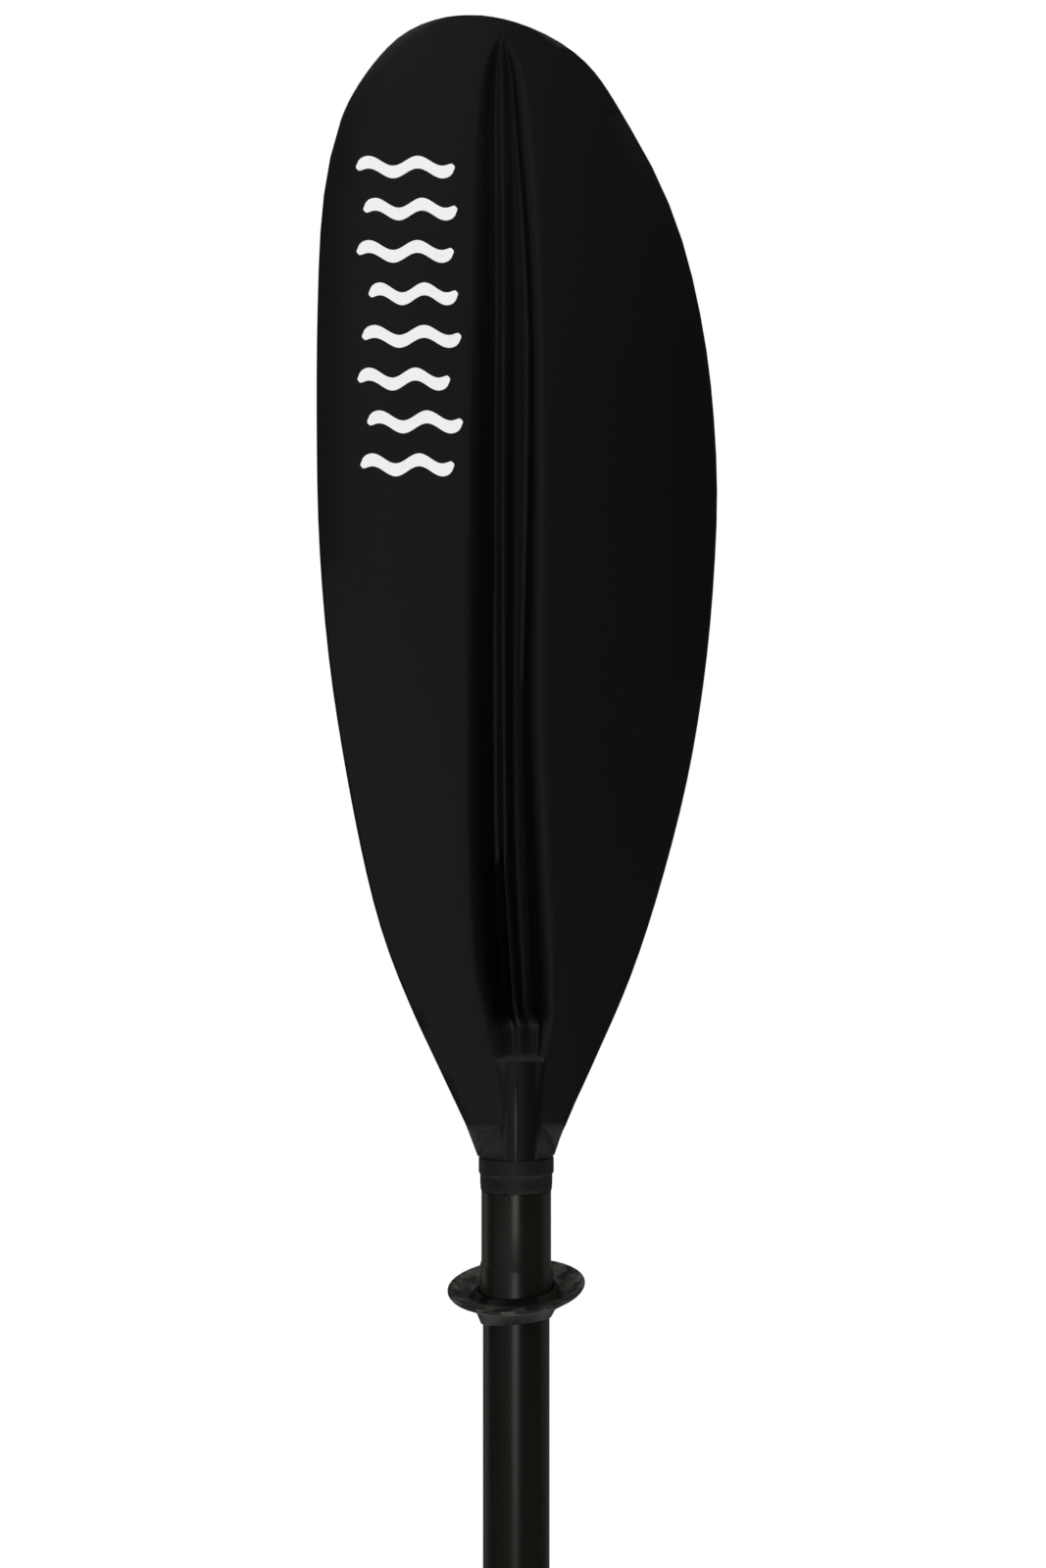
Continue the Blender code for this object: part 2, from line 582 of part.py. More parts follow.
def share_of_ramp(z):
    """0 at the top of the socket, 1 at the ramp's foot."""
    return min(max((z - SOCKET_TOP) / RAMP_LENGTH, 0.0), 1.0)


def hollow_lips(z):
    """Left and right lip of the hollow, and the width of its right wall."""
    down = share_of_ramp(z)
    left, right, wall = (along(HOLLOW, share_above_ramp(z), column) for column in (1, 2, 4))
    left = -HOLLOW_SOCKET_HALF + (left + HOLLOW_SOCKET_HALF) * down
    right = HOLLOW_SOCKET_HALF + (right - HOLLOW_SOCKET_HALF) * down
    return left, right, wall


def hollow_depth(z):
    if z >= RAMP_FOOT:
        return FULL_DEPTH * along(HOLLOW, share_above_ramp(z), 3)
    return FULL_DEPTH * (1 - (1 - share_of_ramp(z))**RAMP_EASE)


def ridge_feet(z, left, right):
    """Where the ridge on the power face starts, on either side."""
    wall = HOLLOW_SIDE_WALL * (1 - between(share_above_ramp(z), 0.85, 1.0))
    at_socket = SOCKET_RADIUS * RIDGE_AT_SOCKET
    up = between(z, 0.0, RAMP_FOOT)
    return (-at_socket + (left - wall + at_socket) * up,
            at_socket + (right + wall - at_socket) * up)


def spine_thickness(z):
    """Plate thickness on the spine, drawn down to the edge's at the tip."""
    share = between(z, 0.8 * BLADE_LENGTH, BLADE_LENGTH)
    return BLADE_SPINE_THICKNESS + (BLADE_EDGE_THICKNESS - BLADE_SPINE_THICKNESS) * share


def ridge_height(z):
    """How far the ridge stands off the power face on its middle line."""
    if z >= RAMP_FOOT:
        return max(hollow_depth(z) + HOLLOW_FLOOR_WALL - spine_thickness(z), 0.0)
    top = SOCKET_RADIUS + RIDGE_PROUD * (2 * between(z, 0.0, FOLD_HEIGHT) - 1)
    return top - spine_height(z) - spine_thickness(z)


def blade_rows(left, right):
    """Rows of the loft: level ones up the blade, then fanned round the tip."""
    heights = [FIT] + [FOLD_HEIGHT * share for share in (0.25, 0.5, 0.75, 0.92, 1.08)]
    heights += [FOLD_HEIGHT + (SOCKET_TOP - FOLD_HEIGHT) * i / 3 for i in (1, 2)]
    heights += [SOCKET_TOP + RAMP_LENGTH * i / RAMP_ROWS for i in range(RAMP_ROWS + 1)]
    heights += [RAMP_FOOT + (HOLLOW_END_START - RAMP_FOOT) * (i / LEVEL_ROWS)**ROW_SPREAD
                for i in range(1, LEVEL_ROWS + 1)]
    heights += [HOLLOW_END_START + (FAN_START - HOLLOW_END_START) * i / END_ROWS
                for i in range(1, END_ROWS + 1)]
    rows = [(point_at_height(left, z), point_at_height(right, z)) for z in heights]
    rest_left = [rows[-1][0]] + [p for p in left if p.y > FAN_START]
    rest_right = [rows[-1][1]] + [p for p in right if p.y > FAN_START]
    for i in range(1, TIP_ROWS + 1):
        share = math.sin(math.pi / 2 * i / (TIP_ROWS + 1))
        rows.append((point_at_share(rest_left, share), point_at_share(rest_right, share)))
    return rows


def row_places(start, end, inner_left, inner_right, inner_places):
    """Places across a row: left wing, the middle's own places, right wing."""
    reach = [1 - (1 - i / WING_STEPS)**WING_SPREAD for i in range(WING_STEPS)]
    places = [start + (inner_left - start) * share for share in reach]
    places += inner_places
    places += [end + (inner_right - end) * share for share in reach[::-1]]
    return places


def hollow_across(height):
    """The hollow's section at a height: places across and shares of its depth."""
    left, right, wall = hollow_lips(height)
    rib = along(RIB_LINE, share_above_ramp(height))
    narrow = min((right - left) / RIB_ROOM, 1.0)
    top = RIB_TOP_HALF * narrow
    left_foot = rib - RIB_LEFT_FOOT * narrow
    right_foot = rib + RIB_RIGHT_FOOT * narrow
    right_wall = (right - right_foot) * wall
    floor = right - right_wall - right_foot
    return ([(left + (left_foot - left) * x, depth) for x, depth in LEFT_WALL]
            + [(left_foot, 1.0), (rib - top, 1.0 - RIB_RISE), (rib + top, 1.0 - RIB_RISE)]
            + [(right_foot + floor * i / 3, 1.0 - FLOOR_CROWN * math.sin(math.pi * i / 3))
               for i in range(4)]
            + [(right - right_wall * x, depth) for x, depth in RIGHT_WALL[::-1]])


def blade_section(low, high):
    """Back and power face points of one row, from its two edge points."""
    height = (low.y + high.y) / 2
    across = hollow_across(height)
    outer_left, outer_right = ridge_feet(height, across[0][0], across[-1][0])
    depth = hollow_depth(height)
    edge = EDGE_ROUND * min(1.0, (high.x - low.x) / (20 * EDGE_ROUND))
    start, end = low.x + edge, high.x - edge

    # Near the tip the spine is squeezed towards the middle of the row.
    middle = (outer_left + outer_right) / 2
    room = min(middle - low.x, high.x - middle) / (outer_right - middle)
    squeeze = min(1.0, max(room / SPINE_ROOM, SPINE_LEAST))

    def squeezed(x):
        return x * squeeze + (low.x + high.x) / 2 * (1 - squeeze)

    across = [(squeezed(x), share) for x, share in across]
    outer_left, outer_right = squeezed(outer_left), squeezed(outer_right)
    left, right, middle = across[0][0], across[-1][0], squeezed(middle)

    def level(x):
        return low.y + (high.y - low.y) * (x - low.x) / (high.x - low.x)

    def thickness(x):
        span = (high.x - middle) if x > middle else (middle - low.x)
        share = min(abs(x - middle) / span, 1.0)
        return spine_thickness(height) + (BLADE_EDGE_THICKNESS - spine_thickness(height)) * share

    places = row_places(start, end, left, right, [x for x, _ in across])
    sink = [0.0] * WING_STEPS + [share for _, share in across] + [0.0] * WING_STEPS
    back = [Vector((x, back_face(x, level(x)) + depth * share, level(x)))
            for x, share in zip(places, sink)]

    # The ridge on the power face is round at the socket, and further up it keeps an
    # even wall round the hollow.
    rise = ridge_height(height) * squeeze
    parallel = between(height, SOCKET_TOP, RAMP_FOOT + 2 * RAMP_LENGTH)
    ridge = []
    for i, (x, share) in enumerate(across):
        around = (1 - math.cos(math.pi * i / (len(across) - 1))) / 2
        along_hollow = (x - left) / (right - left)
        u = around + (along_hollow - around) * parallel
        hump = (1 - abs(2 * u - 1)**RIDGE_ROUNDNESS)**(1 / RIDGE_ROUNDNESS)
        if len(LEFT_WALL) <= i < len(across) - len(RIGHT_WALL):
            share = 1.0
        ridge.append((outer_left + (outer_right - outer_left) * u, hump + (share - hump) * parallel))
    places = row_places(start, end, outer_left, outer_right, [x for x, _ in ridge])
    lift = [0.0] * WING_STEPS + [share for _, share in ridge] + [0.0] * WING_STEPS
    power = [Vector((x, back_face(x, level(x)) + thickness(x) + rise * share, level(x)))
             for x, share in zip(places, lift)]
    return back, power


def make_blade():
    """Loft the moulded blade, join its socket and bore it for the shaft."""
    neck = [Vector((-SOCKET_RADIUS * NECK_SPREAD, 0.0))]
    flat = [Vector((x * BLADE_WIDTH, z * BLADE_LENGTH)) for z, x in OUTLINE]
    end = [Vector((SOCKET_RADIUS * NECK_SPREAD, 0.0))]
    steps = 8
    line = curve_through(neck + flat + end, steps)
    left = line[:TIP_KNOT * steps + 1]
    right = line[TIP_KNOT * steps:][::-1]

    bm = bmesh.new()
    backs, powers, noses = [], [], []
    rows = blade_rows(left, right)
    for low, high in rows:
        back, power = blade_section(low, high)
        backs.append([bm.verts.new(p) for p in back])
        powers.append([bm.verts.new(p) for p in power])
        nose = []
        for edge, a, b in ((low, back[0], power[0]), (high, back[-1], power[-1])):
            nose.append(bm.verts.new((edge.x, (a.y + b.y) / 2, edge.y)))
        noses.append(nose)
    for faces in (backs, powers):
        for row, above in zip(faces, faces[1:]):
            for i in range(len(row) - 1):
                bm.faces.new((row[i], row[i + 1], above[i + 1], above[i]))
    for row in range(len(rows) - 1):
        for side, end_index in ((0, 0), (1, -1)):
            for face in (backs, powers):
                bm.faces.new((face[row][end_index], face[row + 1][end_index],
                              noses[row + 1][side], noses[row][side]))

    # The tip: the last row is carried onto the outline, with a nose like the edges'.
    over_left = [rows[-1][0]] + [p for p in left if p.y > rows[-1][0].y]
    over_right = [rows[-1][1]] + [p for p in right if p.y > rows[-1][1].y]
    over = over_left + over_right[::-1][1:]
    count = len(backs[-1])
    crest_back, crest_power, crest_nose = [], [], []
    for i in range(count):
        spot = point_at_share(over, i / (count - 1))
        if 0 < i < count - 1:
            inner = spot - Vector((0.0, EDGE_ROUND))
            y = back_face(inner.x, inner.y)
            thick = BLADE_EDGE_THICKNESS
            crest_back.append(bm.verts.new((inner.x, y, inner.y)))
            crest_power.append(bm.verts.new((inner.x, y + thick, inner.y)))
            crest_nose.append(bm.verts.new((spot.x, y + thick / 2, spot.y)))
        else:
            side = 0 if i == 0 else 1
            crest_back.append(backs[-1][i])
            crest_power.append(powers[-1][i])
            crest_nose.append(noses[-1][side])
    for last, crest in ((backs[-1], crest_back), (powers[-1], crest_power)):
        for i in range(count - 1):
            corners = [last[i], last[i + 1], crest[i + 1], crest[i]]
            bm.faces.new(list(dict.fromkeys(corners)))
    for crest in (crest_back, crest_power):
        for i in range(count - 1):
            bm.faces.new((crest[i], crest[i + 1], crest_nose[i + 1], crest_nose[i]))
    foot = [noses[0][0]] + backs[0] + [noses[0][1]] + powers[0][::-1]
    bm.faces.new(foot)
    piece = add_object("blade", bm, BLACK_PLASTIC, 50)
    piece.location.z = NECK

    socket = add_object("cut_socket_body", turned([
        (0.0, -SOCKET_LIP_LENGTH), (SOCKET_LIP_RADIUS, -SOCKET_LIP_LENGTH),
        (SOCKET_LIP_RADIUS, 0.0), (SOCKET_RADIUS, 0.0), (SOCKET_RADIUS, SOCKET_TOP),
        (0.0, SOCKET_TOP)], closed=False), BLACK_PLASTIC)
    socket.location.z = NECK
    socket.hide_render = True
    socket.display_type = "WIRE"
    depth = SOCKET_LIP_LENGTH + SOCKET_TOP - SOCKET_END_WALL
    overshoot = SOCKET_LIP_LENGTH
    bore = cutter("cut_socket_bore", SOCKET_BORE, depth + overshoot,
                  Vector((0, 0, NECK + SOCKET_TOP - SOCKET_END_WALL - (depth + overshoot) / 2)),
                  Vector((0, 0, 1)), ROUND_STEPS)
    combine(piece, socket, "UNION")
    combine(piece, bore, "DIFFERENCE")
    return piece


# ---- Assembly ---------------------------------------------------------------
THROAT_RIVET_AXIS = Vector((-math.sin(THROAT_RIVET_TURN), -math.cos(THROAT_RIVET_TURN), 0.0))
CLEAR_OF_SHAFT = SHAFT_RADIUS * 1.5

RIVET_HOLES = cutter("cut_rivet_holes", RIVET_SHANK + FIT, 2 * CLEAR_OF_SHAFT,
                     Vector((0, 0, SEAM + RIVET_HEIGHT)), Vector((1, 0, 0)), 16)
BUTTON_HOLE = cutter("cut_button_hole", BUTTON_RADIUS + FIT, CLEAR_OF_SHAFT,
                     Vector((0, -CLEAR_OF_SHAFT / 2 - INSERT_WALL, BUTTON_HEIGHT)),
                     Vector((0, -1, 0)), 32)
HOLE_FLOOR = INSERT_OUTER - THROAT_RIVET_DEPTH - FIT
THROAT_RIVET_HOLE = cutter("cut_throat_rivet_hole", THROAT_RIVET_SHANK + FIT,
                           CLEAR_OF_SHAFT - HOLE_FLOOR,
                           THROAT_RIVET_AXIS * (CLEAR_OF_SHAFT + HOLE_FLOOR) / 2
                           + Vector((0, 0, THROAT_RIVET_Z)), THROAT_RIVET_AXIS, 16)

make_blade()
make_neck_band()
make_throat_sleeve()
make_throat_rivet()
make_throat_plug()
make_shaft_tube()
make_drip_ring()
make_float_plug()
make_ferrule_insert()
make_ferrule_rivet("ferrule_rivet_left", -1)
make_ferrule_rivet("ferrule_rivet_right", 1)
make_seam_ring()
make_insert_end_cap()
make_snap_spring()
make_snap_button()
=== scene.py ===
import json
import math

import bmesh
import bpy
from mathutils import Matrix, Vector


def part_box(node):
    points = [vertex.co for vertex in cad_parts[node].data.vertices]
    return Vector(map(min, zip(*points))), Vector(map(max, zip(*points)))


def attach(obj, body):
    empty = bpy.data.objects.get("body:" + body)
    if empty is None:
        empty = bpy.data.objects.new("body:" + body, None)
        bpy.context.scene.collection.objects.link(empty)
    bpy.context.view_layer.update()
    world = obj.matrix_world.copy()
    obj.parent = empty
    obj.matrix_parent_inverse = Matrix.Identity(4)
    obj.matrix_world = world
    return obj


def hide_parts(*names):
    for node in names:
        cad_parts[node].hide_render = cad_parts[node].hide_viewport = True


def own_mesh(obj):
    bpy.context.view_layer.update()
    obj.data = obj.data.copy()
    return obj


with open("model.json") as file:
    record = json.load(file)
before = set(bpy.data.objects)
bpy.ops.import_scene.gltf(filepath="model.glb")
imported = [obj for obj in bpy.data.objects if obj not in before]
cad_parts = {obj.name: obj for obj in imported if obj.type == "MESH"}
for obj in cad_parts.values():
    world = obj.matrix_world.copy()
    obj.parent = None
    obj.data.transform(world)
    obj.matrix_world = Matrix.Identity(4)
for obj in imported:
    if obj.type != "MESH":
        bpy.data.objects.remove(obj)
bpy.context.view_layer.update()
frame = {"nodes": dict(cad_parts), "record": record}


# ---- Blade -------------------------------------------------------------------
# One asymmetric moulding in carbon-filled polypropylene: two thin wings on a hollow
# spine that carries a rib, and a socket at its foot that is pressed over the shaft.
# It comes out of a lightly grained steel mould, so it is satin and not glossy.
WELD = 0.000002
FLAT = math.radians(1)
QUAD_BEND, QUAD_SKEW = math.radians(12), math.radians(60)
# Faces are shaded as one where they meet at less than this many degrees.
MOULDED, TURNED = 40, 50


def pick_only(piece):
    """Deselect everything, then select one piece and make it active."""
    bpy.ops.object.select_all(action="DESELECT")
    piece.select_set(True)
    bpy.context.view_layer.objects.active = piece


def dressed_copy(node, name, material, smooth_angle, edge=0.0, cuts=()):
    """A CAD node's shape as a new piece: welded, with round faces smooth and edges broken.

    A turned piece with holes is cut across beside them, at the heights in cuts, so that
    its long faces end there.
    """
    piece = bpy.data.objects.new(name, frame["nodes"][node].data.copy())
    bpy.context.scene.collection.objects.link(piece)
    pick_only(piece)
    bpy.ops.object.mode_set(mode="EDIT")
    bpy.ops.mesh.select_all(action="SELECT")
    bpy.ops.mesh.remove_doubles(threshold=WELD)
    if cuts:
        bpy.ops.mesh.dissolve_limited(angle_limit=FLAT)
    else:
        bpy.ops.mesh.tris_convert_to_quads(face_threshold=QUAD_BEND, shape_threshold=QUAD_SKEW)
    for height in cuts:
        bpy.ops.mesh.select_all(action="SELECT")
        bpy.ops.mesh.bisect(plane_co=(0, 0, height), plane_no=(0, 0, 1))
    bpy.ops.object.mode_set(mode="OBJECT")
    if edge > 0:
        bevel = piece.modifiers.new("broken_edges", "BEVEL")
        bevel.width = edge
        bevel.segments = 2
        bevel.limit_method = "ANGLE"
        bevel.angle_limit = math.radians(smooth_angle)
        bpy.ops.object.modifier_apply(modifier=bevel.name)
    bpy.ops.object.shade_smooth_by_angle(angle=math.radians(smooth_angle))
    piece.data.materials.clear()
    piece.data.materials.append(material)
    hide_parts(node)
    bodies = frame["record"]["behaviour"]["bodies"]
    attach(piece, [body for body, nodes in bodies.items() if node in nodes][0])
    return piece


def new_material(name, colour, roughness, metallic=0.0):
    """A Principled material; what is the same all over is set on its own sockets."""
    material = bpy.data.materials.new(name)
    material.use_nodes = True
    shader = material.node_tree.nodes["Principled BSDF"]
    shader.inputs["Base Color"].default_value = (*colour, 1.0)
    shader.inputs["Roughness"].default_value = roughness
    shader.inputs["Metallic"].default_value = metallic
    return material, material.node_tree, shader


def grain(tree, scale, detail=2.0, stretch=(1.0, 1.0, 1.0)):
    """Noise with scale cells to the metre, stretched along an axis where asked."""
    place = tree.nodes.new("ShaderNodeTexCoord")
    mapping = tree.nodes.new("ShaderNodeMapping")
    mapping.inputs["Scale"].default_value = stretch
    noise = tree.nodes.new("ShaderNodeTexNoise")
    noise.inputs["Scale"].default_value = scale
    noise.inputs["Detail"].default_value = detail
    tree.links.new(place.outputs["Object"], mapping.inputs["Vector"])
    tree.links.new(mapping.outputs["Vector"], noise.inputs["Vector"])
    return noise.outputs["Fac"]


def between(tree, value, low, high, to_low=0.0, to_high=1.0):
    """Value's stretch from low to high, smoothed and carried to a new one."""
    step = tree.nodes.new("ShaderNodeMapRange")
    step.interpolation_type = "SMOOTHSTEP"
    step.inputs["From Min"].default_value = low
    step.inputs["From Max"].default_value = high
    step.inputs["To Min"].default_value = to_low
    step.inputs["To Max"].default_value = to_high
    tree.links.new(value, step.inputs["Value"])
    return step.outputs["Result"]


def maths(tree, operation, first, second):
    """A Math node's result; each value is a number or another node's output."""
    node = tree.nodes.new("ShaderNodeMath")
    node.operation = operation
    for socket, value in zip(node.inputs, (first, second)):
        if isinstance(value, (int, float)):
            socket.default_value = value
        else:
            tree.links.new(value, socket)
    return node.outputs["Value"]


def two_tone(tree, share, first, second):
    """Colour that goes from first to second with share."""
    mix = tree.nodes.new("ShaderNodeMix")
    mix.data_type = "RGBA"
    mix.inputs["A"].default_value = (*first, 1.0)
    mix.inputs["B"].default_value = (*second, 1.0)
    tree.links.new(share, mix.inputs["Factor"])
    return mix.outputs["Result"]


def bumped(tree, shader, height, depth, strength=1.0, after=None):
    """Raise the surface by up to depth metres where height is 1."""
    bump = tree.nodes.new("ShaderNodeBump")
    bump.inputs["Strength"].default_value = strength
    bump.inputs["Distance"].default_value = depth
    tree.links.new(height, bump.inputs["Height"])
    if after is not None:
        tree.links.new(after, bump.inputs["Normal"])
    tree.links.new(bump.outputs["Normal"], shader.inputs["Normal"])
    return bump.outputs["Normal"]


BLADE_BLACK = (0.0011, 0.0012, 0.0007)
SCUFFED_TIP = 0.16


def moulded_black():
    """Near-black polypropylene: mould grain, faint flow marks, rubbed scuffs at the tip."""
    material, tree, shader = new_material("moulded_black", BLADE_BLACK, 0.50)
    shader.inputs["Specular Tint"].default_value = (0.93, 1.0, 0.87, 1.0)
    flow = grain(tree, 9.0, 3.0, (1.0, 1.0, 0.35))
    place = tree.nodes.new("ShaderNodeTexCoord")
    split = tree.nodes.new("ShaderNodeSeparateXYZ")
    tree.links.new(place.outputs["Object"], split.inputs["Vector"])
    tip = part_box("blade")[1].z
    near_tip = between(tree, split.outputs["Z"], tip - SCUFFED_TIP, tip)
    scratches = between(tree, grain(tree, 260.0, 4.0, (1.0, 1.0, 0.06)), 0.62, 0.70)
    scuffs = maths(tree, "MULTIPLY", scratches, near_tip)
    scuffs = maths(tree, "MULTIPLY", scuffs, between(tree, grain(tree, 34.0, 2.0), 0.5, 0.66))
    tone = maths(tree, "ADD", maths(tree, "MULTIPLY", flow, 0.35), scuffs)
    colour = two_tone(tree, tone, (0.0009, 0.0011, 0.0006), (0.0056, 0.0060, 0.0050))
    tree.links.new(colour, shader.inputs["Base Color"])
    tree.links.new(between(tree, flow, 0.3, 0.7, 0.47, 0.53), shader.inputs["Roughness"])
    fine = bumped(tree, shader, grain(tree, 2400.0, 1.0), 0.000020)
    bumped(tree, shader, grain(tree, 60.0, 2.0), 0.000060, 0.5, fine)
    return material


def select_points(piece, wanted):
    """In edit mode, deselect everything and then select the points that are wanted."""
    bpy.ops.mesh.select_mode(type="VERT")
    bpy.ops.mesh.select_all(action="DESELECT")
    shape = bmesh.from_edit_mesh(piece.data)
    for point in shape.verts:
        point.select_set(wanted(point.co))
    shape.select_flush_mode()
    bmesh.update_edit_mesh(piece.data)


blade = dressed_copy("blade", "blade_moulding", moulded_black(), MOULDED)

# The hollow's foot is drawn up into a gentle ramp to the socket, with the rib proud of
# it. The points between foot and top, from the ramp's face back to the floor, move.
RAMP_FOOT, RAMP_TOP = 0.7365, 0.7520
HOLLOW_HALF = 0.0105
RAMP_FACE, HOLLOW_FLOOR = -0.0112, 0.0119
RAMP_DEPTH = 0.20
bpy.ops.object.mode_set(mode="EDIT")
select_points(blade, lambda place: RAMP_FOOT < place.z < RAMP_TOP
              and abs(place.x) < HOLLOW_HALF and RAMP_FACE < place.y < HOLLOW_FLOOR)
bpy.ops.transform.resize(value=(1, RAMP_DEPTH, 1), center_override=(0, RAMP_FACE, 0))
bpy.ops.object.mode_set(mode="OBJECT")
bpy.ops.object.shade_smooth_by_angle(angle=math.radians(MOULDED))


# ---- Socket's mould line ------------------------------------------------------
# Where two parts of the mould met, a fine flat line stands proud along the socket.
# It is part of the blade's moulding and was polished with the mould's parting face.
SOCKET_RADIUS = 0.0159
LINE_TURN = math.radians(8.5)
LINE_WIDE, LINE_PROUD = 0.0016, 0.00015
LINE_LOW, LINE_HIGH = 0.0008, 0.0408
bpy.ops.object.select_all(action="DESELECT")
bpy.ops.mesh.primitive_cube_add(size=1)
line = bpy.context.object
line.name = "socket_mould_line"
bpy.ops.transform.resize(value=(LINE_WIDE, 4 * LINE_PROUD, LINE_HIGH - LINE_LOW))
bpy.ops.transform.translate(value=(0, LINE_PROUD - SOCKET_RADIUS,
                                   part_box("blade")[0].z + (LINE_LOW + LINE_HIGH) / 2))
bpy.ops.transform.rotate(value=LINE_TURN, orient_axis="Z", center_override=(0, 0, 0))
bpy.ops.object.transform_apply(location=True, rotation=True, scale=True)
rounded = line.modifiers.new("rounded", "BEVEL")
rounded.width = LINE_PROUD
rounded.segments = 3
bpy.ops.object.modifier_apply(modifier=rounded.name)
bpy.ops.object.shade_smooth_by_angle(angle=math.radians(MOULDED))
polished, tree, shader = new_material("mould_polished_black", BLADE_BLACK, 0.26)
bumped(tree, shader, grain(tree, 900.0, 2.0), 0.000006)
line.data.materials.append(polished)
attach(line, "paddle")


# ---- Printed waves -----------------------------------------------------------
# Plain white wave lines, pad-printed on the wing beside the spine once the blade has
# left its mould. Each line is a thin film of matt ink that follows the plastic.
INK_LEFT = -0.0665
INK_WIDTH = 0.0425
INK_TOP = 1.1215
INK_PITCH = 0.0187
INK_HALF = 0.0028
INK_SWING = 0.0022
INK_WAVES = 2.0
INK_COLUMNS, INK_ROWS = 40, 3
INK_END_LEAST = 0.02
INK_THICKNESS = 0.0001
CLEAR_AHEAD = 0.05
# Each line's indent, and its share of the full width.
INK_LINES = [(0.000, 1.00), (0.003, 0.95), (0.000, 0.98), (0.005, 0.90),
             (0.002, 1.00), (0.000, 0.93), (0.004, 0.96), (0.001, 0.94)]


def one_wave():
    """One wave line in the XZ plane, from the origin to the right, with rounded ends."""
    bpy.ops.object.select_all(action="DESELECT")
    bpy.ops.mesh.primitive_grid_add(x_subdivisions=INK_COLUMNS, y_subdivisions=INK_ROWS, size=1,
                                    rotation=(math.pi / 2, 0, 0))
    wave = bpy.context.object
    bpy.ops.object.transform_apply(location=False, rotation=True, scale=False)
    bpy.ops.object.mode_set(mode="EDIT")
    bpy.ops.mesh.select_all(action="SELECT")
    bpy.ops.transform.translate(value=(0.5, 0, 0))
    bpy.ops.transform.resize(value=(INK_WIDTH, 1, 2 * INK_HALF), center_override=(0, 0, 0))
    step = INK_WIDTH / INK_COLUMNS
    for column in range(INK_COLUMNS + 1):
        at = column * step
        select_points(wave, lambda place: abs(place.x - at) < step / 4)
        from_end = min(at, INK_WIDTH - at)
        if from_end < INK_HALF:
            round_off = math.sqrt(max(1 - (1 - from_end / INK_HALF)**2, INK_END_LEAST))
            bpy.ops.transform.resize(value=(1, 1, round_off), center_override=(at, 0, 0))
        rise = INK_SWING * math.sin(2 * math.pi * INK_WAVES * at / INK_WIDTH)
        bpy.ops.transform.translate(value=(0, 0, rise))
    bpy.ops.object.mode_set(mode="OBJECT")
    return wave


def printed_waves():
    """The wave lines as one film, laid on the blade from the front and half sunk in it."""
    first = one_wave()
    waves = []
    for i, (indent, length) in enumerate(INK_LINES):
        pick_only(first)
        bpy.ops.object.duplicate(linked=False)
        bpy.ops.transform.resize(value=(length, 1, 1), center_override=(0, 0, 0))
        bpy.ops.transform.translate(value=(INK_LEFT + indent, -CLEAR_AHEAD, INK_TOP - i * INK_PITCH))
        waves.append(bpy.context.object)
    bpy.data.objects.remove(first, do_unlink=True)
    pick_only(waves[0])
    for wave in waves:
        wave.select_set(True)
    bpy.ops.object.join()
    ink = bpy.context.object
    ink.name = "printed_waves"
    bpy.ops.object.transform_apply(location=True, rotation=True, scale=True)
    laid = ink.modifiers.new("laid_on", "SHRINKWRAP")
    laid.target = blade
    laid.wrap_method = "PROJECT"
    laid.use_project_y = True
    laid.use_negative_direction = False
    laid.use_positive_direction = True
    bpy.ops.object.modifier_apply(modifier=laid.name)
    film = ink.modifiers.new("film", "SOLIDIFY")
    film.thickness = 2 * INK_THICKNESS
    film.offset = 0
    bpy.ops.object.modifier_apply(modifier=film.name)
    bpy.ops.object.shade_smooth_by_angle(angle=math.radians(MOULDED))
    return ink


INK_WHITE = (0.93, 0.93, 0.92)


def white_ink():
    """Matt white ink, a little greyer where it is worn thin."""
    material, tree, shader = new_material("white_ink", INK_WHITE, 0.45)
    worn = between(tree, grain(tree, 500.0, 4.0), 0.60, 0.72)
    tree.links.new(two_tone(tree, worn, INK_WHITE, (0.82, 0.82, 0.80)),
                   shader.inputs["Base Color"])
    bumped(tree, shader, grain(tree, 2400.0, 1.0), 0.000015)
    return material


ink = printed_waves()
ink.data.materials.append(white_ink())
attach(ink, "paddle")


# ---- Neck band ---------------------------------------------------------------
# A stepped band of rubber, stretched over the socket's skirt and down onto the shaft
# to keep water out of the joint. It is moulded dull and picks up dust.
def dull_rubber():
    """Dull black rubber with dust settled in patches."""
    clean, roughness = (0.0066, 0.0070, 0.0050), 0.55
    material, tree, shader = new_material("band_rubber", clean, roughness)
    settled = between(tree, grain(tree, 420.0, 5.0), 0.45, 0.75)
    patches = between(tree, grain(tree, 90.0, 3.0), 0.35, 0.65)
    dust = maths(tree, "MULTIPLY", settled, patches)
    tree.links.new(two_tone(tree, dust, clean, (0.012, 0.012, 0.010)), shader.inputs["Base Color"])
    tree.links.new(between(tree, patches, 0.0, 1.0, roughness - 0.06, roughness + 0.08),
                   shader.inputs["Roughness"])
    bumped(tree, shader, grain(tree, 1500.0, 2.0), 0.000035)
    return material


dressed_copy("neck_band", "neck_band_rubber", dull_rubber(), TURNED)


# ---- Throat sleeve -----------------------------------------------------------
# A thin plastic sleeve shrunk onto the shaft under the blade. Its lower end is a
# thick cuff that the drip ring is pushed up onto. It is smooth and half glossy.
CUT_ROOM = 0.001


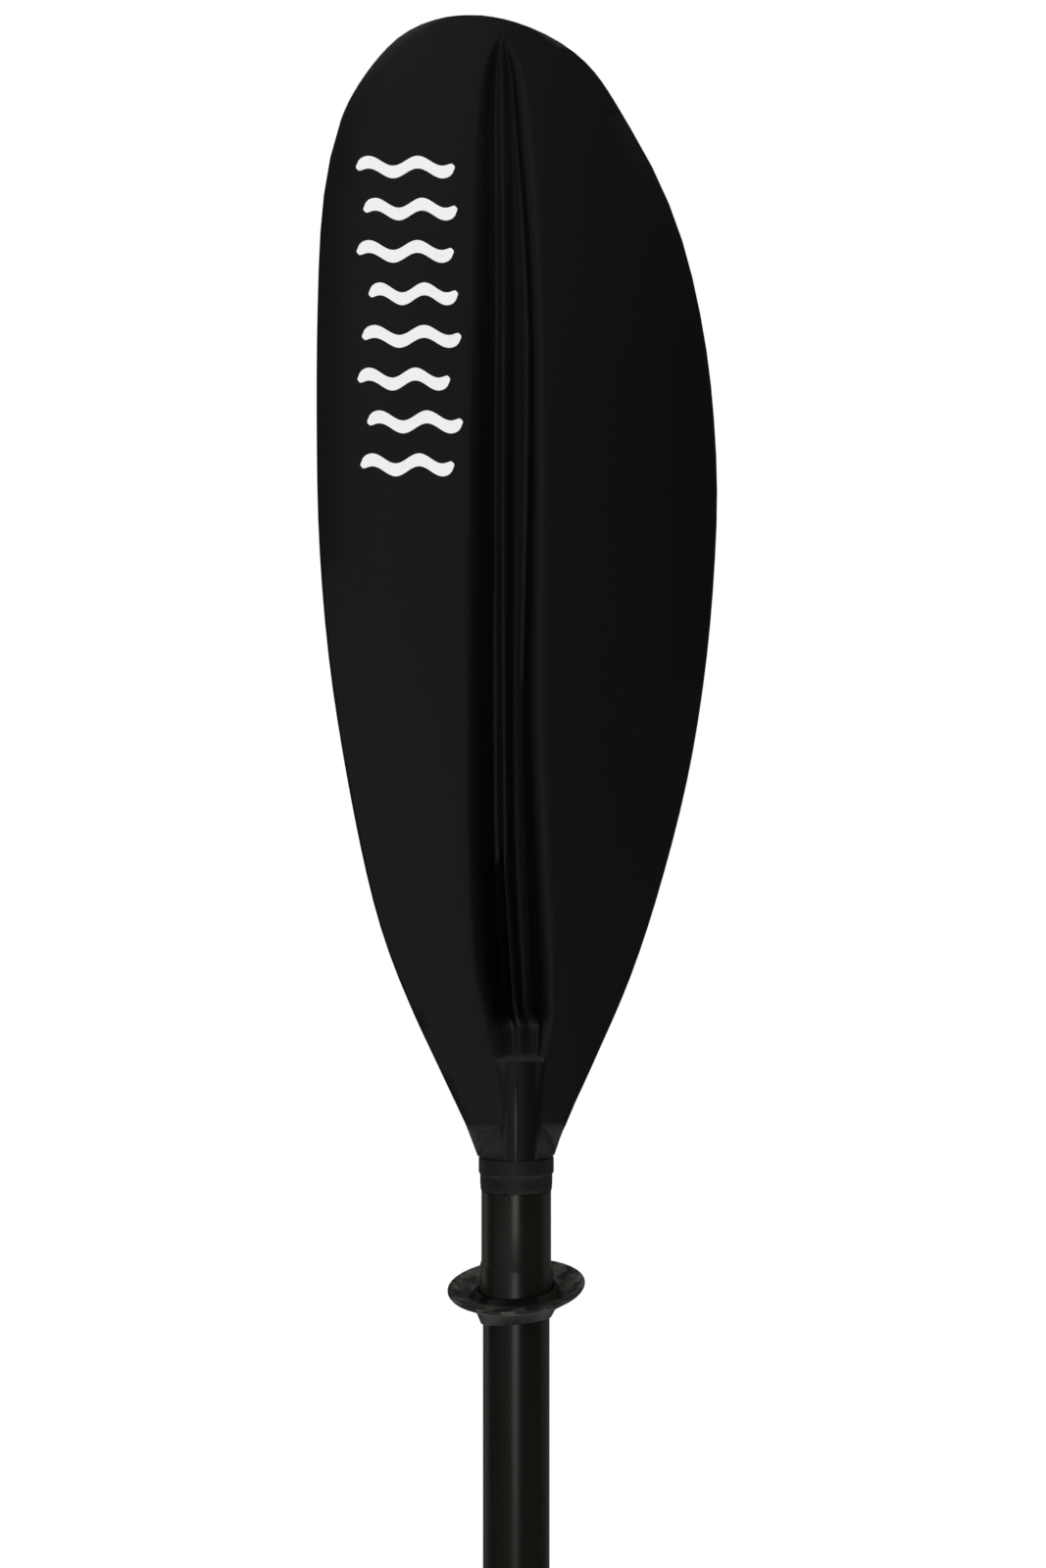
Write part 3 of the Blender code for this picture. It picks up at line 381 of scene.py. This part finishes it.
def half_gloss_sleeve():
    """Smooth black plastic, a little wavy from shrinking, with fine lines along it."""
    material, tree, shader = new_material("half_gloss_sleeve", (0.0055, 0.0060, 0.0028), 0.30)
    shader.inputs["Specular IOR Level"].default_value = 0.65
    drawn = grain(tree, 700.0, 2.0, (1.0, 1.0, 0.02))
    tree.links.new(between(tree, grain(tree, 45.0, 3.0), 0.3, 0.7, 0.26, 0.32),
                   shader.inputs["Roughness"])
    tree.links.new(two_tone(tree, drawn, (0.0050, 0.0055, 0.0024), (0.0060, 0.0065, 0.0032)),
                   shader.inputs["Base Color"])
    fine = bumped(tree, shader, drawn, 0.000012)
    bumped(tree, shader, grain(tree, 130.0, 2.0), 0.000045, 0.6, fine)
    return material


dressed_copy("throat_sleeve", "throat_sleeve", half_gloss_sleeve(), TURNED,
             cuts=[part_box("throat_rivet")[0].z - CUT_ROOM / 2])


# ---- Throat rivet and plug ---------------------------------------------------
# One small black blind rivet goes through sleeve and shaft into a moulded plug that
# closes the tube under the blade.
TUBE_EDGE = 0.0002
RIVET_BLACK = (0.020, 0.020, 0.018)


def painted_rivet():
    """Black paint on a rivet's head, worn to the metal in specks."""
    material, tree, shader = new_material("black_rivet", RIVET_BLACK, 0.32, 0.6)
    worn = between(tree, grain(tree, 900.0, 3.0), 0.55, 0.75)
    tree.links.new(two_tone(tree, worn, RIVET_BLACK, (0.120, 0.118, 0.112)),
                   shader.inputs["Base Color"])
    bumped(tree, shader, grain(tree, 2200.0, 2.0), 0.000015)
    return material


def moulded_nylon():
    """Black nylon, slightly cloudy, with a fine mould grain."""
    material, tree, shader = new_material("moulded_nylon", (0.016, 0.016, 0.016), 0.48)
    cloudy = grain(tree, 120.0, 4.0)
    tree.links.new(two_tone(tree, cloudy, (0.012, 0.012, 0.012), (0.022, 0.022, 0.021)),
                   shader.inputs["Base Color"])
    tree.links.new(between(tree, cloudy, 0.3, 0.7, 0.42, 0.55), shader.inputs["Roughness"])
    bumped(tree, shader, grain(tree, 1800.0, 1.0), 0.000025)
    return material


dressed_copy("throat_rivet", "throat_rivet", painted_rivet(), MOULDED)
NYLON = moulded_nylon()
dressed_copy("throat_plug", "throat_plug", NYLON, MOULDED, TUBE_EDGE)


# ---- Shaft tube --------------------------------------------------------------
# A 28.6 mm drawn aluminium tube, black anodised. Drawing leaves fine lines along it,
# and handling leaves faint pale scratches.
def beside(node):
    """Heights a little below and above a node."""
    low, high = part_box(node)
    return [low.z - CUT_ROOM, high.z + CUT_ROOM]


def black_anodised():
    """Black anodised metal, with drawn lines along it and faint pale rubs."""
    material, tree, shader = new_material("black_anodised", (0.0046, 0.0050, 0.0022), 0.27)
    shader.inputs["Specular IOR Level"].default_value = 0.65
    drawn = grain(tree, 1400.0, 2.0, (1.0, 1.0, 0.01))
    rubbed = between(tree, grain(tree, 380.0, 5.0, (1.0, 1.0, 0.10)), 0.66, 0.72)
    patches = between(tree, grain(tree, 16.0, 2.0), 0.45, 0.65)
    tone = maths(tree, "ADD", maths(tree, "MULTIPLY", drawn, 0.3),
                 maths(tree, "MULTIPLY", rubbed, patches))
    tree.links.new(two_tone(tree, tone, (0.0038, 0.0042, 0.0016), (0.0112, 0.0112, 0.0082)),
                   shader.inputs["Base Color"])
    tree.links.new(between(tree, grain(tree, 30.0, 3.0, (1.0, 1.0, 0.3)), 0.3, 0.7, 0.23, 0.29),
                   shader.inputs["Roughness"])
    bumped(tree, shader, drawn, 0.000008)
    return material


dressed_copy("shaft_tube", "shaft_tube", black_anodised(), TURNED, TUBE_EDGE,
             beside("ferrule_rivet_left") + beside("throat_rivet"))


# ---- Drip ring ---------------------------------------------------------------
# A cup moulded in soft rubber, which is pushed up to the sleeve's cuff to turn drips
# off the shaft. The soft cup sits a little askew and its hollow is dusty.
CLEAN_RADIUS, DUSTY_RADIUS = 0.019, 0.027
# Where the cup beside the hub gets painted shade: its reach from the axis, and its rise above the
# ring's foot.
SHADE_RADIUS, SHADE_EDGE = 0.0190, 0.0215
SHADE_START, SHADE_FULL = 0.0082, 0.0094


def dusty_rubber():
    """Black rubber, clean beside the shaft and dusty in patches out towards the rim, with painted
    shade in the cup's hollow beside the hub.
    """
    material, tree, shader = new_material("ring_rubber", (0.0020, 0.0021, 0.0015), 0.55)
    place = tree.nodes.new("ShaderNodeTexCoord")
    across = tree.nodes.new("ShaderNodeVectorMath")
    across.operation = "MULTIPLY"
    across.inputs[1].default_value = (1.0, 1.0, 0.0)
    tree.links.new(place.outputs["Object"], across.inputs[0])
    from_axis = tree.nodes.new("ShaderNodeVectorMath")
    from_axis.operation = "LENGTH"
    tree.links.new(across.outputs["Vector"], from_axis.inputs[0])
    outward = between(tree, from_axis.outputs["Value"], CLEAN_RADIUS, DUSTY_RADIUS, 0.15, 1.0)
    patches = between(tree, grain(tree, 120.0, 3.0), 0.44, 0.60, 0.05, 1.0)
    specks = between(tree, grain(tree, 900.0, 4.0), 0.30, 0.65, 0.45, 1.0)
    dust = maths(tree, "MULTIPLY", outward, maths(tree, "MULTIPLY", patches, specks))
    tree.links.new(two_tone(tree, dust, (0.0018, 0.0019, 0.0013), (0.072, 0.075, 0.057)),
                   shader.inputs["Base Color"])
    tree.links.new(between(tree, dust, 0.0, 1.0, 0.48, 0.62), shader.inputs["Roughness"])
    # Painted shade: the specular level is lowered on the hub's lip and the bottom of the cup beside
    # it, where the deep cup lies in shade.
    split = tree.nodes.new("ShaderNodeSeparateXYZ")
    tree.links.new(place.outputs["Object"], split.inputs["Vector"])
    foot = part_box("drip_ring")[0].z
    above = between(tree, split.outputs["Z"], foot + SHADE_START, foot + SHADE_FULL)
    shade_beside_shaft = between(tree, from_axis.outputs["Value"], SHADE_RADIUS, SHADE_EDGE, 1.0, 0.0)
    painted_cup_shade = maths(tree, "MULTIPLY", above, shade_beside_shaft)
    tree.links.new(between(tree, painted_cup_shade, 0.0, 1.0, 0.5, 0.06),
                   shader.inputs["Specular IOR Level"])
    bumped(tree, shader, grain(tree, 1500.0, 2.0), 0.000035)
    return material


dressed_copy("drip_ring", "drip_ring_rubber", dusty_rubber(), TURNED)


# ---- Float plug --------------------------------------------------------------
# A plug of closed-cell foam, cut with a die and pushed up the tube above the insert.
def closed_cell_foam():
    """Dark grey foam with fine pits."""
    material, tree, shader = new_material("closed_cell_foam", (0.10, 0.10, 0.10), 0.92)
    cells = tree.nodes.new("ShaderNodeTexVoronoi")
    cells.inputs["Scale"].default_value = 900.0
    place = tree.nodes.new("ShaderNodeTexCoord")
    tree.links.new(place.outputs["Object"], cells.inputs["Vector"])
    pits = cells.outputs["Distance"]
    tree.links.new(two_tone(tree, pits, (0.12, 0.12, 0.118), (0.06, 0.06, 0.06)),
                   shader.inputs["Base Color"])
    bumped(tree, shader, pits, 0.00025)
    return material


dressed_copy("float_plug", "float_plug", closed_cell_foam(), MOULDED)


# ---- Plug-in insert, its rivets and end parts --------------------------------
# A bright drawn tube, fixed in the shaft by two blind rivets, that plugs into the
# other half. A black nylon ring covers the shaft's cut end and a cap closes the tube.
def bright_drawn(name, dark, light, roughness, along):
    """Bright metal, with lines along the way that it was drawn or polished."""
    material, tree, shader = new_material(name, light, roughness, 1.0)
    drawn = grain(tree, 1600.0, 3.0, along)
    cloudy = grain(tree, 60.0, 3.0)
    tree.links.new(two_tone(tree, drawn, dark, light), shader.inputs["Base Color"])
    tone = maths(tree, "ADD", maths(tree, "MULTIPLY", drawn, 0.5),
                 maths(tree, "MULTIPLY", cloudy, 0.5))
    tree.links.new(between(tree, tone, 0.3, 0.7, roughness - 0.07, roughness + 0.08),
                   shader.inputs["Roughness"])
    bumped(tree, shader, drawn, 0.000010)
    return material


INSERT_METAL = bright_drawn("drawn_aluminium", (0.46, 0.465, 0.47), (0.64, 0.645, 0.65), 0.33,
                            (1.0, 1.0, 0.012))
dressed_copy("ferrule_insert", "ferrule_insert", INSERT_METAL, TURNED, TUBE_EDGE,
             beside("ferrule_rivet_left") + beside("snap_button"))
for side in ("left", "right"):
    rivet_metal = bright_drawn("rivet_aluminium_" + side, (0.48, 0.48, 0.48), (0.62, 0.62, 0.62),
                               0.38, (0.2, 1.0, 1.0))
    dressed_copy("ferrule_rivet_" + side, "ferrule_rivet_" + side,
                 rivet_metal, MOULDED)
TRIM_EDGE = 0.0001
for trim in ("seam_ring", "insert_end_cap"):
    dressed_copy(trim, trim, NYLON, MOULDED, TRIM_EDGE)


# ---- Snap button and spring --------------------------------------------------
# A domed stainless button stands through the insert's wall and locks the two halves.
# A bent strip of spring steel pushes it out, and closes up as the button goes in.
POLISHED = bright_drawn("polished_stainless", (0.50, 0.50, 0.49), (0.60, 0.60, 0.59), 0.22,
                        (1.0, 0.2, 1.0))
dressed_copy("snap_button", "snap_button", POLISHED, MOULDED)
spring = dressed_copy("snap_spring", "snap_spring", POLISHED, MOULDED)
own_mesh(spring)


# ---- Floor, light and camera -------------------------------------------------
# A pale round floor that fades into a white room, and a level camera that looks at the
# blade. A key lamp stands by the camera with one above it, two broad soft ones on the
# left, one behind on each side and one overhead.
FLOOR_RADIUS, FLOOR_SIDES = 1.1, 96
FLOOR_DROP = 0.0003
FADE_START, FADE_END = 0.30, FLOOR_RADIUS * 0.96
bpy.ops.object.select_all(action="DESELECT")
bpy.ops.mesh.primitive_circle_add(vertices=FLOOR_SIDES, radius=FLOOR_RADIUS, fill_type="NGON",
                                  location=(0, 0, -FLOOR_DROP))
floor = bpy.context.object
floor.name = "floor"
material, tree, shader = new_material("pale_floor", (0.80, 0.80, 0.79), 0.75)
place = tree.nodes.new("ShaderNodeTexCoord")
length = tree.nodes.new("ShaderNodeVectorMath")
length.operation = "LENGTH"
tree.links.new(place.outputs["Object"], length.inputs[0])
fade = between(tree, length.outputs["Value"], FADE_START, FADE_END)
clear = tree.nodes.new("ShaderNodeBsdfTransparent")
mixed = tree.nodes.new("ShaderNodeMixShader")
tree.links.new(fade, mixed.inputs[0])
tree.links.new(shader.outputs[0], mixed.inputs[1])
tree.links.new(clear.outputs[0], mixed.inputs[2])
tree.links.new(mixed.outputs[0], tree.nodes["Material Output"].inputs["Surface"])
floor.data.materials.append(material)

CAMERA_TURN = math.radians(8)
CAMERA_DISTANCE = 1.2
CAMERA_HEIGHT = 0.853
CAMERA_ASIDE = 0.0029
ahead = Vector((math.sin(CAMERA_TURN), math.cos(CAMERA_TURN), 0.0))
right = Vector((math.cos(CAMERA_TURN), -math.sin(CAMERA_TURN), 0.0))
lens = bpy.data.cameras.new("camera")
lens.lens = 64.26
lens.sensor_width = 36.0
lens.clip_start = 0.05
camera = bpy.data.objects.new("camera", lens)
bpy.context.scene.collection.objects.link(camera)
camera.location = right * CAMERA_ASIDE - ahead * CAMERA_DISTANCE + Vector((0, 0, CAMERA_HEIGHT))
camera.rotation_euler = ahead.to_track_quat("-Z", "Y").to_euler()
bpy.context.scene.camera = camera


def add_lamp(name, bearing, level, distance, height, wide, tall, aim_height=0.85):
    """A soft box at a bearing in degrees from -Y towards -X, at a level of white."""
    lamp = bpy.data.lights.new(name, "AREA")
    lamp.shape = "RECTANGLE"
    lamp.size = wide
    lamp.size_y = tall
    lamp.energy = math.pi * wide * tall * level
    holder = bpy.data.objects.new(name, lamp)
    bpy.context.scene.collection.objects.link(holder)
    turn = math.radians(bearing)
    holder.location = (-math.sin(turn) * distance, -math.cos(turn) * distance, height)
    aim = Vector((0, 0, aim_height)) - holder.location
    holder.rotation_euler = aim.to_track_quat("-Z", "Y").to_euler()
    holder.visible_camera = False


add_lamp("key_box", bearing=11, level=1.72, distance=2.0, height=0.48, wide=0.60, tall=0.76)
add_lamp("upper_box", bearing=12.5, level=1.60, distance=3.0, height=3.00, wide=0.63, tall=1.8,
         aim_height=1.1)
add_lamp("soft_box", bearing=37, level=0.20, distance=3.0, height=1.10, wide=1.60, tall=2.2)
add_lamp("side_box", bearing=66, level=0.11, distance=3.0, height=1.10, wide=1.70, tall=2.2)
add_lamp("left_back_box", bearing=127, level=0.20, distance=3.0, height=0.95, wide=1.05, tall=2.2)
add_lamp("right_back_box", bearing=-103, level=0.11, distance=3.0, height=0.95, wide=1.60, tall=2.2)
add_lamp("ceiling_box", bearing=180, level=1.1, distance=0.2, height=2.6, wide=2.4, tall=1.6)

# The room lights the part from all round and is white to the camera. Reflections see it
# dim, and a little brighter behind the part.
ROOM_LEVEL = 0.80
ROOM_GLOSS = 0.03
BACKDROP_GLOSS = 0.12
BACKDROP_START, BACKDROP_FULL = 0.25, 0.75
world = bpy.data.worlds.new("white_room")
bpy.context.scene.world = world
world.use_nodes = True
tree = world.node_tree
background = tree.nodes["Background"]
direction = tree.nodes.new("ShaderNodeTexCoord")
split = tree.nodes.new("ShaderNodeSeparateXYZ")
tree.links.new(direction.outputs["Generated"], split.inputs["Vector"])
path = tree.nodes.new("ShaderNodeLightPath")
behind = between(tree, split.outputs["Y"], BACKDROP_START, BACKDROP_FULL, ROOM_GLOSS, BACKDROP_GLOSS)
mirrored = maths(tree, "MAXIMUM", path.outputs["Is Glossy Ray"], path.outputs["Is Transmission Ray"])
seen = maths(tree, "MAXIMUM", maths(tree, "MULTIPLY", behind, mirrored), path.outputs["Is Camera Ray"])
room = maths(tree, "MULTIPLY", path.outputs["Is Diffuse Ray"], ROOM_LEVEL)
strength = maths(tree, "MAXIMUM", seen, room)
background.inputs["Color"].default_value = (1.0, 1.0, 1.0, 1.0)
tree.links.new(strength, background.inputs["Strength"])

bpy.context.scene.view_settings.view_transform = "Standard"
